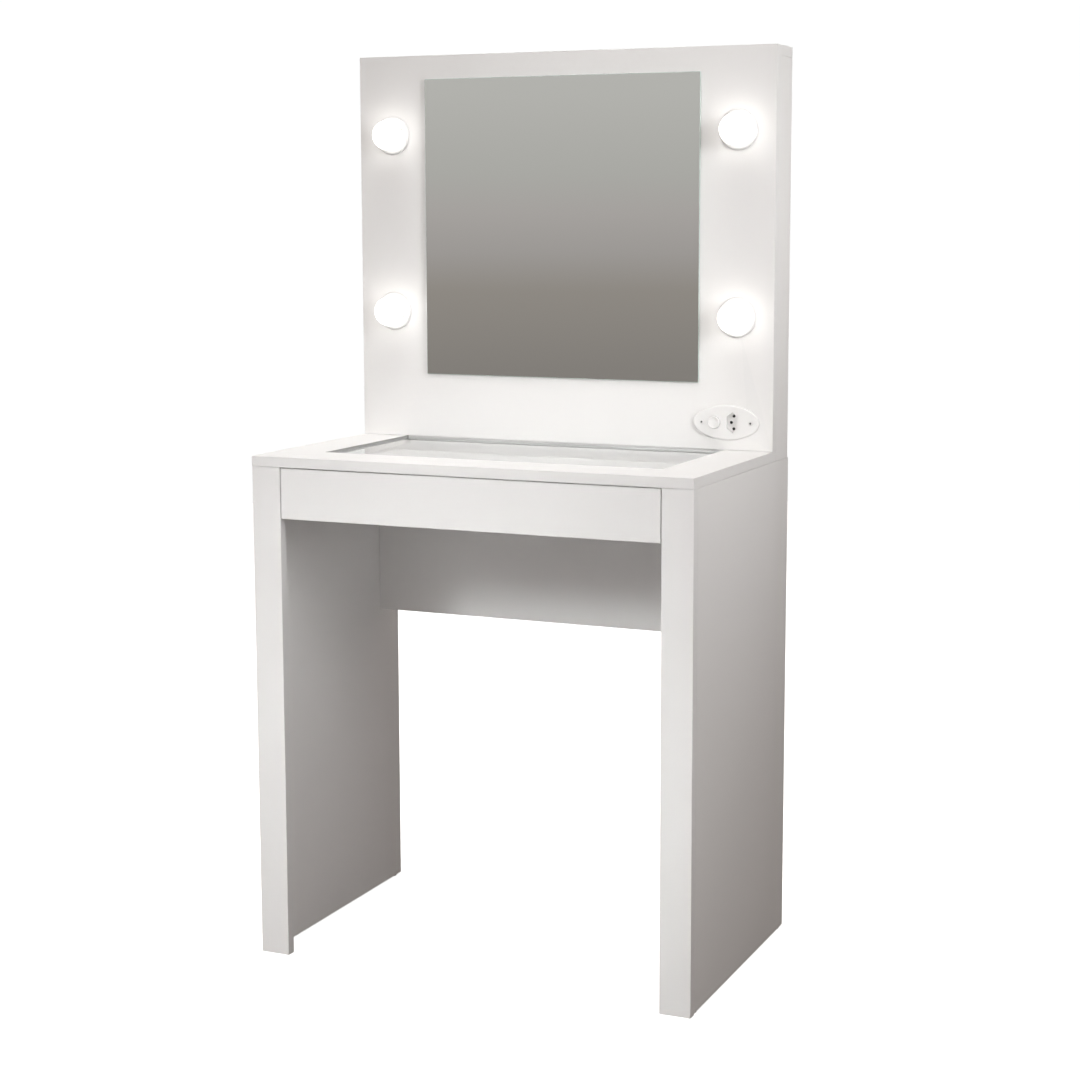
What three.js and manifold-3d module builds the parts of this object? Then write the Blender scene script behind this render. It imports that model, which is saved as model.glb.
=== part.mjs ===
// A dressing table of white laminated board with a lit mirror housing standing on its back edge.
// Millimetres, +X right, the front faces -Y, +Z up. The origin is on the floor under the middle.
import * as THREE from 'three';
import { mergeVertices } from 'three/addons/utils/BufferGeometryUtils.js';
import Module from 'manifold-3d';

// ---- driving dimensions ----
const WIDTH = 680; // across the side panels, the tabletop and the mirror panel
const DEPTH = 414; // tabletop front edge to the back edge of the side panels
const TABLE_HEIGHT = 745; // floor to the top of the tabletop
const TOTAL_HEIGHT = 1333; // floor to the top of the mirror housing
const BOARD = 15; // laminated board
const DRAWER_BOARD = 12; // thinner board of the drawer box
const SHEET = 3; // hardboard sheet, and the mirror
const GAP = 0.3; // clearance where two pieces touch

// ---- desk ----
const FRONT = -DEPTH / 2;
const BACK = DEPTH / 2;
const HALF = WIDTH / 2;
const DESK_TOP = TABLE_HEIGHT - BOARD; // underside of the tabletop
const STILE_WIDTH = 46;
const STILE_SETBACK = 0.7; // the tabletop stands this far proud of the front
const STILE_FRONT = FRONT + STILE_SETBACK;
const STILE_BACK = STILE_FRONT + BOARD;
const STILE_INNER = HALF - STILE_WIDTH; // half the clear width between the stiles
const PANEL_INNER = HALF - BOARD; // half the clear width between the side panels
const APRON_BOTTOM = 460;
const APRON_SETBACK = 145.3; // front face of the apron, from the middle of the depth
const GLIDE_HEIGHT = 2; // head of a nail-on glide, which lifts the side panel off the floor
const GLIDE_RADIUS = 7;
const GLIDE_CHAMFER = { width: 1, height: 0.8 };
const NAIL_RADIUS = 1.2;
const NAIL_LENGTH = 12;
const NAIL_POINT = 2;
const GLIDE_INSET = { front: 26, rear: 17 }; // from the tabletop's front edge, and from the back

// ---- tabletop ----
const TABLE_DEPTH = 352; // front edge to the back face of the mirror panel
const TABLE_BACK = FRONT + TABLE_DEPTH;
const GLASS_BORDER = 75; // side border between the edge and the glass
const GLASS_FRONT_BORDER = 81;
const GLASS_UNDER_PANEL = 6; // the glass runs this far under the mirror panel
const GLASS = 4;
const REBATE = 7.5; // depth of the step that the glass lies in
const LEDGE = 8; // width of that step

// ---- drawer and its roller runners ----
const DRAWER_HEIGHT = 73.5;
const DRAWER_GAP = 1.5; // round the drawer front
const DRAWER_SIDE_BOTTOM = 664;
const DRAWER_SIDE_TOP = 722;
const DRAWER_LENGTH = 300;
const RUNNER_SPACE = 12.5; // between the batten and the drawer side
const BATTEN = { bottom: 664, top: 714, length: 320 };
const GROOVE = { bottom: 672, height: 3.6, depth: 5 }; // holds the drawer base
const STEEL = 1.2;
const RUNNER = { bottom: 668, top: 695, flange: 8.6, lip: 3, notch: 30, start: 4 };
const RAIL = { bottom: 662.4, top: 697.4, under: 12, over: 8 };
const ROLLER = { front: 12, rear: 11, width: 5, bore: 2.5, pin: 2.1, head: 3.6, headDepth: 0.8 };
const ROLLER_INSET = 14; // axle of a roller from its runner's end

// ---- mirror housing ----
const PANEL_FRONT = TABLE_BACK - BOARD; // front face of the mirror panel
const HOUSING_BACK = 202;
const SHEET_GROOVE = { setback: 9, width: 3.6, depth: 5 }; // for the back sheet
const MIRROR = { width: 450, bottom: 844, top: 1297 };
const TAPE = { thickness: 0.6, width: 20, length: 400, x: 180 };

// ---- lamps, wiring and outlet ----
const LAMP = { x: 283, heights: { upper: 1212.5, lower: 941 }, hole: 22, sides: 24, depth: 36 };
const GLOBE = { radius: 22.5, centre: 19.5, neck: 14.4, collar: 13.2 };
const OUTLET = { x: 268.5, z: 786, halfWidth: 51, halfHeight: 26, thickness: 3.5, cutX: 31, cutZ: 21 };
const BUTTON = { x: -18.5, hole: 9.8, radius: 9.4, edge: 6, chamfer: 1.2, face: 7.8, skirt: -3 };
const STEM = { radius: 3, end: -12 };
const SWITCH_BODY = { half: 11, back: -24, front: -6.5, bore: 3.4, boreEnd: -16 };
const SOCKET = { x: 10, halfWidth: 9, halfHeight: 15.5, shoulder: 9, floor: -4 };
const PIN = { radius: 2.3, pitch: 9.5, earthShift: 4, depth: 12 };
const SOCKET_BODY = { halfWidth: 12, halfHeight: 19, back: -28 };
const SCREW = { offset: 38, pilot: 1.9, shank: 1.5, end: -11, head: 3.2, rim: 0.5, crown: 2.2 };
const SCREW_DOME = { shoulder: 1.3, top: 1.5 };
const GROMMET = { x: 240, y: 178, hole: 8, lead: 4, flange: 2, under: -2.3, top: 18 };
const WIRE = { radius: 3, y: 176, top: 1295, foot: 766 };
const TERMINAL = { low: [263, 168], high: [303, 184], height: 20 };

const COLOURS = {
  board: [0xf4f3f1, 0.35, 0],
  hardboard: [0xb89a78, 0.8, 0],
  steel: [0xe6e6e4, 0.45, 0.3],
  nylon: [0xf2f0e8, 0.5, 0],
  glass: [0xcfe0dc, 0.05, 0],
  mirror: [0xb9bcc0, 0.03, 1],
  tape: [0x50504c, 0.9, 0],
  plastic: [0xf0f0ee, 0.4, 0],
  lamp: [0xfffaf0, 0.4, 0],
  cap: [0xc8c9cc, 0.3, 1],
  glide: [0x3a332e, 0.6, 0],
  wire: [0x2c2c2e, 0.6, 0],
};

const wasm = await Module();
wasm.setup();

// ---- shared helpers ----
function finish(name) {
  const [color, roughness, metalness] = COLOURS[name];
  return new THREE.MeshStandardMaterial({ color, roughness, metalness });
}

function piece(group, name, geometry, colour) {
  const mesh = new THREE.Mesh(geometry, finish(colour));
  mesh.name = name;
  group.add(mesh);
  return mesh;
}

// A board between two opposite corners, placed by its middle.
function board(group, name, low, high, colour = 'board') {
  const size = high.map((value, axis) => value - low[axis]);
  const mesh = piece(group, name, new THREE.BoxGeometry(...size), colour);
  mesh.position.set(...low.map((value, axis) => value + size[axis] / 2));
  return mesh;
}

function block(low, high) {
  const size = high.map((value, axis) => value - low[axis]);
  const geometry = new THREE.BoxGeometry(...size);
  return geometry.translate(...low.map((value, axis) => value + size[axis] / 2));
}

// A rod between two heights of one axis, at a point of the other two.
function rod(axis, centre, from, to, radius, sides = 12) {
  const geometry = new THREE.CylinderGeometry(radius, radius, to - from, sides);
  if (axis === 'x') geometry.rotateZ(-Math.PI / 2);
  if (axis === 'z') geometry.rotateX(Math.PI / 2);
  const place = { x: [(from + to) / 2, ...centre], y: [centre[0], (from + to) / 2, centre[1]] };
  place.z = [...centre, (from + to) / 2];
  return geometry.translate(...place[axis]);
}

function toSolid(geometry) {
  const bare = geometry.clone();
  bare.deleteAttribute('normal');
  bare.deleteAttribute('uv');
  const merged = mergeVertices(bare, 1e-4);
  return new wasm.Manifold(
    new wasm.Mesh({
      numProp: 3,
      vertProperties: new Float32Array(merged.attributes.position.array),
      triVerts: new Uint32Array(merged.index.array),
    }),
  );
}

function toGeometry(solid) {
  const mesh = solid.getMesh();
  const geometry = new THREE.BufferGeometry();
  geometry.setAttribute('position', new THREE.BufferAttribute(mesh.vertProperties, 3));
  geometry.setIndex(new THREE.BufferAttribute(mesh.triVerts, 1));
  geometry.computeVertexNormals();
  return geometry;
}

function cut(geometry, ...tools) {
  return toGeometry(tools.reduce((solid, tool) => solid.subtract(toSolid(tool)), toSolid(geometry)));
}

function join(geometry, ...others) {
  return toGeometry(others.reduce((solid, other) => solid.add(toSolid(other)), toSolid(geometry)));
}

function outline(points) {
  return new THREE.Shape(points.map(([x, y]) => new THREE.Vector2(x, y)));
}

function extrude(shape, depth, curveSegments = 12) {
  return new THREE.ExtrudeGeometry(shape, { depth, bevelEnabled: false, curveSegments });
}

function turn(points, sides) {
  return new THREE.LatheGeometry(points.map(([r, h]) => new THREE.Vector2(r, h)), sides);
}

// A section drawn in X and Z, run from one depth to another.
function section(points, from, to) {
  const geometry = extrude(outline(points), to - from);
  geometry.rotateX(Math.PI / 2);
  return geometry.translate(0, to, 0);
}

// The same points reflected across the middle plane, kept in anticlockwise order.
function onSide(sign, points) {
  const placed = points.map(([x, z]) => [sign * x, z]);
  return sign > 0 ? placed : placed.reverse();
}

const SIDES = { left: -1, right: 1 };

// ---- desk ----
function sidePanel(group, side) {
  const sign = SIDES[side];
  const [inner, outer] = [PANEL_INNER * sign, HALF * sign].sort((a, b) => a - b);
  const low = [inner, STILE_BACK + GAP, GLIDE_HEIGHT];
  const panel = block(low, [outer, BACK, DESK_TOP - GAP]);
  const nails = glidePlaces().map((y) => {
    const centre = [sign * (HALF - BOARD / 2), y];
    return rod('z', centre, 0, GLIDE_HEIGHT + NAIL_LENGTH + GAP, NAIL_RADIUS + GAP, 8);
  });
  piece(group, `${side}_side_panel`, cut(panel, ...nails), 'board');
}

function frontStile(group, side) {
  const sign = SIDES[side];
  const [x0, x1] = [STILE_INNER * sign, HALF * sign].sort((a, b) => a - b);
  board(group, `${side}_front_stile`, [x0, STILE_FRONT, 0], [x1, STILE_BACK, DESK_TOP - GAP]);
}

function glidePlaces() {
  return [FRONT + GLIDE_INSET.front, BACK - GLIDE_INSET.rear];
}

function glides(group) {
  const profile = [
    [0, 0], [GLIDE_RADIUS - GLIDE_CHAMFER.width, 0], [GLIDE_RADIUS, GLIDE_CHAMFER.height],
    [GLIDE_RADIUS, GLIDE_HEIGHT - GAP],
    [NAIL_RADIUS, GLIDE_HEIGHT - GAP], [NAIL_RADIUS, GLIDE_HEIGHT + NAIL_LENGTH - NAIL_POINT],
    [0, GLIDE_HEIGHT + NAIL_LENGTH],
  ];
  for (const side of Object.keys(SIDES)) {
    glidePlaces().forEach((y, index) => {
      const name = `${['front', 'rear'][index]}_${side}_glide`;
      const glide = piece(group, name, turn(profile, 16), 'glide');
      glide.rotation.x = Math.PI / 2;
      glide.position.set(SIDES[side] * (HALF - BOARD / 2), y, 0);
    });
  }
}

function tabletop(group) {
  const glassBack = PANEL_FRONT + GLASS_UNDER_PANEL;
  const glassX = HALF - GLASS_BORDER;
  const glassFront = FRONT + GLASS_FRONT_BORDER;
  const stepHeight = TABLE_HEIGHT - REBATE;
  const top = block([-HALF, FRONT, DESK_TOP], [HALF, TABLE_BACK, TABLE_HEIGHT]);
  const window = block(
    [-glassX + LEDGE, glassFront + LEDGE, DESK_TOP - 1],
    [glassX - LEDGE, glassBack - LEDGE, TABLE_HEIGHT + 1],
  );
  const rebate = block([-glassX, glassFront, stepHeight], [glassX, glassBack, TABLE_HEIGHT + 1]);
  piece(group, 'tabletop', cut(top, window, rebate), 'board');
  board(
    group, 'tabletop_glass',
    [-glassX + GAP, glassFront + GAP, stepHeight + GAP],
    [glassX - GAP, glassBack - GAP, stepHeight + GAP + GLASS], 'glass',
  );
}

function desk() {
  const group = new THREE.Group();
  for (const side of Object.keys(SIDES)) {
    sidePanel(group, side);
    frontStile(group, side);
    runnerBatten(group, side);
    cabinetRunner(group, side);
  }
  board(
    group, 'rear_apron',
    [-PANEL_INNER + GAP, APRON_SETBACK, APRON_BOTTOM],
    [PANEL_INNER - GAP, APRON_SETBACK + BOARD, DESK_TOP - GAP],
  );
  glides(group);
  tabletop(group);
  return group;
}

// ---- runners ----
const BATTEN_INNER = STILE_INNER + 2 * GAP; // face of the batten that carries the runner
const SIDE_OUTER = STILE_INNER - RUNNER_SPACE; // outer face of a drawer side
const DRAWER_FRONT_BACK = STILE_BACK; // inner face of the drawer front
const RUNNER_FRONT = STILE_BACK + RUNNER.start;

function runnerBatten(group, side) {
  const sign = SIDES[side];
  const [x0, x1] = [BATTEN_INNER * sign, (PANEL_INNER - GAP) * sign].sort((a, b) => a - b);
  const start = STILE_BACK + GAP;
  const low = [x0, start, BATTEN.bottom];
  board(group, `${side}_runner_batten`, low, [x1, start + BATTEN.length, BATTEN.top]);
}

// A rivet pin with a head that keeps the roller on, along X.
function rivet(sign, root, tip, y, z) {
  const head = tip + Math.sign(tip - root) * ROLLER.headDepth;
  const spans = [[root, tip, ROLLER.pin], [tip, head, ROLLER.head]];
  return spans.map(([a, b, radius]) => {
    const [from, to] = [a * sign, b * sign].sort((p, q) => p - q);
    return rod('x', [y, z], from, to, radius, 12);
  });
}

// The fixed runner: a C of folded steel, its top flange cut away over the front roller.
function cabinetRunner(group, side) {
  const sign = SIDES[side];
  const outer = BATTEN_INNER - GAP;
  const inner = outer - STEEL;
  const edge = inner - RUNNER.flange;
  const end = RUNNER_FRONT + DRAWER_LENGTH;
  const web = onSide(sign, [
    [edge, RUNNER.bottom], [outer, RUNNER.bottom], [outer, RUNNER.top], [edge, RUNNER.top],
    [edge, RUNNER.top - STEEL], [inner, RUNNER.top - STEEL], [inner, RUNNER.bottom + STEEL],
    [edge + STEEL, RUNNER.bottom + STEEL], [edge + STEEL, RUNNER.bottom + RUNNER.lip],
    [edge, RUNNER.bottom + RUNNER.lip],
  ]);
  const [x0, x1] = [(edge - 1) * sign, inner * sign].sort((a, b) => a - b);
  const notch = block(
    [x0, RUNNER_FRONT - 1, RUNNER.bottom + STEEL],
    [x1, RUNNER_FRONT + RUNNER.notch, RUNNER.top + 1],
  );
  const axle = rollerPlaces().front;
  const tip = rollerMiddle('front') - ROLLER.width / 2 - GAP;
  const pin = rivet(sign, outer - STEEL / 2, tip, axle.y, axle.z);
  const rail = cut(section(web, RUNNER_FRONT, end), notch);
  piece(group, `${side}_cabinet_runner`, join(rail, ...pin), 'steel');
}

// The moving runner: a Z of folded steel under and beside the drawer side.
function drawerRunner(group, side) {
  const sign = SIDES[side];
  const web = SIDE_OUTER + GAP;
  const outer = web + STEEL;
  const points = onSide(sign, [
    [SIDE_OUTER - RAIL.under, RAIL.bottom], [outer, RAIL.bottom], [outer, RAIL.top - STEEL],
    [outer + RAIL.over, RAIL.top - STEEL], [outer + RAIL.over, RAIL.top], [web, RAIL.top],
    [web, RAIL.bottom + STEEL], [SIDE_OUTER - RAIL.under, RAIL.bottom + STEEL],
  ]);
  const axle = rollerPlaces().rear;
  const tip = rollerMiddle('rear') + ROLLER.width / 2 + GAP;
  const pin = rivet(sign, outer - STEEL / 2, tip, axle.y, axle.z);
  const start = DRAWER_FRONT_BACK + GAP;
  const rail = section(points, start, start + DRAWER_LENGTH);
  piece(group, `${side}_drawer_runner`, join(rail, ...pin), 'steel');
}

// The front rollers turn on the fixed runners under the drawer's flange, the rear ones inside them.
function rollerPlaces() {
  const end = DRAWER_FRONT_BACK + DRAWER_LENGTH;
  return {
    front: { y: RUNNER_FRONT + ROLLER_INSET, z: RAIL.top - STEEL - GAP - ROLLER.front },
    rear: { y: end - ROLLER_INSET, z: RUNNER.bottom + STEEL + GAP + ROLLER.rear },
  };
}

function roller(group, side, place) {
  const radius = ROLLER[place];
  const half = ROLLER.width / 2;
  const profile = [
    [ROLLER.bore, -half], [radius - 0.8, -half], [radius, -half + 0.8], [radius, half - 0.8],
    [radius - 0.8, half], [ROLLER.bore, half], [ROLLER.bore, -half],
  ];
  const wheel = piece(group, `${side}_${place}_roller`, turn(profile, 24), 'nylon');
  const { y, z } = rollerPlaces()[place];
  wheel.rotation.z = Math.PI / 2;
  wheel.position.set(SIDES[side] * rollerMiddle(place), y, z);
}

function rollerMiddle(place) {
  const half = ROLLER.width / 2;
  const webInner = BATTEN_INNER - GAP - STEEL;
  if (place === 'front') return webInner - 2 * GAP - half;
  return webInner - RUNNER.flange + STEEL + 2 * GAP + half;
}

// ---- drawer ----
function drawerFront(group) {
  const [low, high] = [DESK_TOP - DRAWER_GAP - DRAWER_HEIGHT, DESK_TOP - DRAWER_GAP];
  const half = STILE_INNER - DRAWER_GAP;
  const face = block([-half, STILE_FRONT, low], [half, STILE_BACK, high]);
  const grooveX = SIDE_OUTER - DRAWER_BOARD + GROOVE.depth;
  const groove = block(
    [-grooveX, STILE_BACK - GROOVE.depth, GROOVE.bottom],
    [grooveX, STILE_BACK + 1, GROOVE.bottom + GROOVE.height],
  );
  piece(group, 'drawer_front', cut(face, groove), 'board');
}

function drawerSide(group, side) {
  const inner = SIDE_OUTER - DRAWER_BOARD;
  const points = onSide(SIDES[side], [
    [inner, DRAWER_SIDE_BOTTOM], [SIDE_OUTER, DRAWER_SIDE_BOTTOM], [SIDE_OUTER, DRAWER_SIDE_TOP],
    [inner, DRAWER_SIDE_TOP], [inner, GROOVE.bottom + GROOVE.height],
    [inner + GROOVE.depth, GROOVE.bottom + GROOVE.height], [inner + GROOVE.depth, GROOVE.bottom],
    [inner, GROOVE.bottom],
  ]);
  const start = DRAWER_FRONT_BACK + GAP;
  piece(group, `drawer_side_${side}`, section(points, start, start + DRAWER_LENGTH), 'board');
}

function drawer() {
  const group = new THREE.Group();
  const inner = SIDE_OUTER - DRAWER_BOARD;
  const end = DRAWER_FRONT_BACK + GAP + DRAWER_LENGTH;
  drawerFront(group);
  for (const side of Object.keys(SIDES)) {
    drawerSide(group, side);
    drawerRunner(group, side);
  }
  const baseX = inner + GROOVE.depth - GAP;
  const baseTop = GROOVE.bottom + GAP + SHEET;
  board(
    group, 'drawer_base',
    [-baseX, STILE_BACK - GROOVE.depth + GAP, GROOVE.bottom + GAP], [baseX, end, baseTop],
  );
  board(
    group, 'drawer_back',
    [-inner + GAP, end - DRAWER_BOARD, baseTop + GAP], [inner - GAP, end, DRAWER_SIDE_TOP],
  );
  return group;
}

// ---- mirror housing ----
function mirrorPanel(group) {
  const bottom = TABLE_HEIGHT + GAP;
  const shape = outline([
    [-HALF, bottom], [HALF, bottom], [HALF, TOTAL_HEIGHT], [-HALF, TOTAL_HEIGHT],
  ]);
  for (const sign of Object.values(SIDES)) {
    for (const height of Object.values(LAMP.heights)) {
      shape.holes.push(new THREE.Path().absarc(sign * LAMP.x, height, LAMP.hole, 0, 2 * Math.PI));
    }
  }
  const { x, z, cutX, cutZ } = OUTLET;
  const corners = [[x - cutX, z - cutZ], [x + cutX, z - cutZ], [x + cutX, z + cutZ], [x - cutX, z + cutZ]];
  shape.holes.push(new THREE.Path(corners.map(([a, b]) => new THREE.Vector2(a, b))));
  for (const sign of Object.values(SIDES)) {
    const pilot = new THREE.Path().absarc(x + sign * SCREW.offset, z, SCREW.pilot, 0, 2 * Math.PI);
    shape.holes.push(new THREE.Path(pilot.getPoints(4)));
  }
  const panel = piece(group, 'mirror_panel', extrude(shape, BOARD, 12), 'board');
  panel.rotation.x = Math.PI / 2;
  panel.position.y = PANEL_FRONT + BOARD;
}

// A side board with an upright groove near its back edge for the back sheet.
function housingSide(group, side) {
  const sign = SIDES[side];
  const start = TABLE_BACK + GAP;
  const grooveStart = HOUSING_BACK - SHEET_GROOVE.setback;
  const grooveEnd = grooveStart + SHEET_GROOVE.width;
  const deep = PANEL_INNER + SHEET_GROOVE.depth;
  const plan = onSide(sign, [
    [PANEL_INNER, start], [HALF, start], [HALF, HOUSING_BACK], [PANEL_INNER, HOUSING_BACK],
    [PANEL_INNER, grooveEnd], [deep, grooveEnd], [deep, grooveStart], [PANEL_INNER, grooveStart],
  ]);
  const height = TOTAL_HEIGHT - BOARD - GAP - DESK_TOP;
  const panel = piece(group, `housing_side_${side}`, extrude(outline(plan), height), 'board');
  panel.position.z = DESK_TOP;
}

function housingBottom(group) {
  const low = [-PANEL_INNER + GAP, TABLE_BACK + GAP, DESK_TOP];
  const end = HOUSING_BACK - SHEET_GROOVE.setback;
  const shelf = block(low, [PANEL_INNER - GAP, end, DESK_TOP + BOARD]);
  const centre = [GROMMET.x, GROMMET.y];
  const hole = rod('z', centre, DESK_TOP - 1, DESK_TOP + BOARD + 1, GROMMET.hole, 16);
  piece(group, 'housing_bottom', cut(shelf, hole), 'board');
}

function mirror(group) {
  const tapeBack = PANEL_FRONT - GAP;
  const tapeFront = tapeBack - TAPE.thickness;
  const back = tapeFront - GAP;
  const middle = (MIRROR.bottom + MIRROR.top) / 2;
  board(
    group, 'mirror_glass',
    [-MIRROR.width / 2, back - SHEET, MIRROR.bottom], [MIRROR.width / 2, back, MIRROR.top], 'mirror',
  );
  for (const [side, sign] of Object.entries(SIDES)) {
    const x = sign * TAPE.x;
    board(
      group, `mirror_tape_${side}`,
      [x - TAPE.width / 2, tapeFront, middle - TAPE.length / 2],
      [x + TAPE.width / 2, tapeBack, middle + TAPE.length / 2], 'tape',
    );
  }
}

function housing() {
  const group = new THREE.Group();
  const start = TABLE_BACK + GAP;
  const sheetStart = HOUSING_BACK - SHEET_GROOVE.setback + GAP;
  const sheetX = PANEL_INNER + SHEET_GROOVE.depth - GAP;
  mirrorPanel(group);
  for (const side of Object.keys(SIDES)) housingSide(group, side);
  board(group, 'housing_cap', [-HALF, start, TOTAL_HEIGHT - BOARD], [HALF, HOUSING_BACK, TOTAL_HEIGHT]);
  housingBottom(group);
  board(
    group, 'housing_back',
    [-sheetX, sheetStart, DESK_TOP + GAP],
    [sheetX, sheetStart + SHEET, TOTAL_HEIGHT - BOARD - GAP], 'hardboard',
  );
  mirror(group);
  return group;
}

// ---- lamps ----
// Profiles are radius and height, with the height measured out of the panel's face.
const HOLDER_PROFILE = [
  [0, -LAMP.depth], [17.5, -LAMP.depth], [17.5, -28], [21.6, -24], [21.6, GAP], [29, GAP],
  [29, 2.2], [27.6, 3.8], [25, 4.7], [21, 4.9], [19.8, 4], [19.8, -4], [14.6, -9], [14.6, -33],
  [0, -33],
];
const NUT_PROFILE = [
  [21.9, -BOARD - GAP], [21.9, -21], [27, -21], [27, -BOARD - GAP], [21.9, -BOARD - GAP],
];
const CAP_PROFILE = [
  [0, -31], [4.5, -31], [6, -29.5], [13.2, -27.5], [13.2, -5 - GAP], [0, -5 - GAP],
];

// The glass is a ball that runs into a straight neck and closes on the cap.
function globeProfile() {
  const { radius, centre, neck, collar } = GLOBE;
  const top = Math.PI / 2;
  const last = -Math.acos(neck / radius);
  const steps = 12;
  const arc = Array.from({ length: steps + 1 }, (_, index) => {
    const angle = last + ((top - last) * index) / steps;
    return [index === steps ? 0 : radius * Math.cos(angle), centre + radius * Math.sin(angle)];
  });
  return [[0, -5], [collar, -5], [neck, 0], ...arc];
}

function lamp(side, level) {
  const group = new THREE.Group();
  const name = `${level}_${side}`;
  piece(group, `${name}_lampholder`, turn(HOLDER_PROFILE, LAMP.sides), 'plastic');
  piece(group, `${name}_holder_nut`, turn(NUT_PROFILE, LAMP.sides), 'plastic');
  piece(group, `${name}_bulb_cap`, turn(CAP_PROFILE, LAMP.sides), 'cap');
  piece(group, `${name}_bulb_globe`, turn(globeProfile(), LAMP.sides), 'lamp');
  group.rotation.x = Math.PI;
  group.position.set(SIDES[side] * LAMP.x, PANEL_FRONT, LAMP.heights[level]);
  return group;
}

// ---- outlet: drawn in X and Y with Z out of the panel ----
function hexagon() {
  const { x, halfWidth, halfHeight, shoulder } = SOCKET;
  return [
    [x - halfWidth, -shoulder], [x, -halfHeight], [x + halfWidth, -shoulder],
    [x + halfWidth, shoulder], [x, halfHeight], [x - halfWidth, shoulder],
  ];
}

function outletPlate(group) {
  const shape = new THREE.Shape();
  shape.absellipse(0, 0, OUTLET.halfWidth, OUTLET.halfHeight, 0, 2 * Math.PI);
  shape.holes.push(new THREE.Path().absarc(BUTTON.x, 0, BUTTON.hole, 0, 2 * Math.PI));
  shape.holes.push(new THREE.Path(hexagon().map(([x, y]) => new THREE.Vector2(x, y))));
  for (const sign of Object.values(SIDES)) {
    const hole = new THREE.Path().absarc(sign * SCREW.offset, 0, SCREW.pilot, 0, 2 * Math.PI);
    shape.holes.push(new THREE.Path(hole.getPoints(4)));
  }
  const plate = piece(group, 'outlet_plate', extrude(shape, OUTLET.thickness, 16), 'plastic');
  plate.position.z = GAP;
}

function socketBody(group) {
  const { x, floor } = SOCKET;
  const { halfWidth, halfHeight, back } = SOCKET_BODY;
  const body = block([x - halfWidth, -halfHeight, back], [x + halfWidth, halfHeight, 0]);
  const recess = extrude(outline(hexagon()), 1 - floor).translate(0, 0, floor);
  const places = [[0, -PIN.pitch], [-PIN.earthShift, 0], [0, PIN.pitch]];
  const pins = places.map(([dx, y]) => {
    return rod('z', [x + dx, y], floor - PIN.depth, floor + 1, PIN.radius, 10);
  });
  piece(group, 'socket_body', cut(body, recess, ...pins), 'plastic');
}

function lightSwitch(group) {
  const { x, radius, edge, chamfer, skirt } = BUTTON;
  const face = [
    [0, STEM.end], [STEM.radius, STEM.end], [STEM.radius, skirt], [radius, skirt], [radius, edge],
    [radius - chamfer, edge + chamfer], [0, BUTTON.face],
  ];
  const button = piece(group, 'light_switch_button', turn(face, 24), 'plastic');
  button.rotation.x = Math.PI / 2;
  button.position.x = x;
  const { half, back, front } = SWITCH_BODY;
  const body = block([x - half, -half, back], [x + half, half, front]);
  const bore = rod('z', [x, 0], SWITCH_BODY.boreEnd, front + 0.5, SWITCH_BODY.bore, 12);
  piece(group, 'switch_body', cut(body, bore), 'plastic');
}

function plateScrews(group) {
  const head = OUTLET.thickness + 2 * GAP;
  const profile = [
    [0, SCREW.end], [SCREW.shank, SCREW.end], [SCREW.shank, head], [SCREW.head, head],
    [SCREW.head, head + SCREW.rim], [SCREW.crown, head + SCREW_DOME.shoulder], [0, head + SCREW_DOME.top],
  ];
  for (const [side, sign] of Object.entries(SIDES)) {
    const screw = piece(group, `plate_screw_${side}`, turn(profile, 12), 'cap');
    screw.rotation.x = Math.PI / 2;
    screw.position.x = sign * SCREW.offset;
  }
}

function outlet() {
  const group = new THREE.Group();
  outletPlate(group);
  socketBody(group);
  lightSwitch(group);
  plateScrews(group);
  group.rotation.x = Math.PI / 2;
  group.position.set(OUTLET.x, PANEL_FRONT, OUTLET.z);
  return group;
}

// ---- wiring inside the housing ----
function lampWiring(group) {
  const { radius, y, top, foot } = WIRE;
  const { upper, lower } = LAMP.heights;
  const runs = [
    rod('z', [LAMP.x, y], foot, top, radius, 8),
    rod('x', [y, top - radius], -LAMP.x - radius, LAMP.x + radius, radius, 8),
    rod('z', [-LAMP.x, y], lower - radius, top, radius, 8),
  ];
  for (const sign of Object.values(SIDES)) {
    for (const height of [upper, lower]) {
      const holderBack = PANEL_FRONT + LAMP.depth + GAP;
      runs.push(rod('y', [sign * LAMP.x, height], holderBack, y + radius, radius, 8));
    }
  }
  piece(group, 'lamp_wiring', join(...runs), 'wire');
}

function cableGrommet(group) {
  const { hole, lead, flange, under, top } = GROMMET;
  const profile = [
    [lead, under], [hole + flange, under], [hole + flange, -GAP], [hole - GAP, -GAP],
    [hole - GAP, top], [lead, top], [lead, under],
  ];
  const grommet = piece(group, 'cable_grommet', turn(profile, 16), 'wire');
  grommet.rotation.x = Math.PI / 2;
  grommet.position.set(GROMMET.x, GROMMET.y, DESK_TOP);
}

function wiring() {
  const group = new THREE.Group();
  const shelf = DESK_TOP + BOARD + GAP;
  lampWiring(group);
  cableGrommet(group);
  const { low, high, height } = TERMINAL;
  board(group, 'terminal_block', [...low, shelf], [...high, shelf + height], 'plastic');
  return group;
}

const table = new THREE.Group();
table.add(desk(), drawer(), housing(), outlet(), wiring());
for (const side of Object.keys(SIDES)) {
  for (const place of ['front', 'rear']) roller(table, side, place);
  for (const level of Object.keys(LAMP.heights)) table.add(lamp(side, level));
}

export default table;
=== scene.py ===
"""A white dressing table with a glazed top, one drawer and a lit mirror housing, in metres."""
import math

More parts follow.
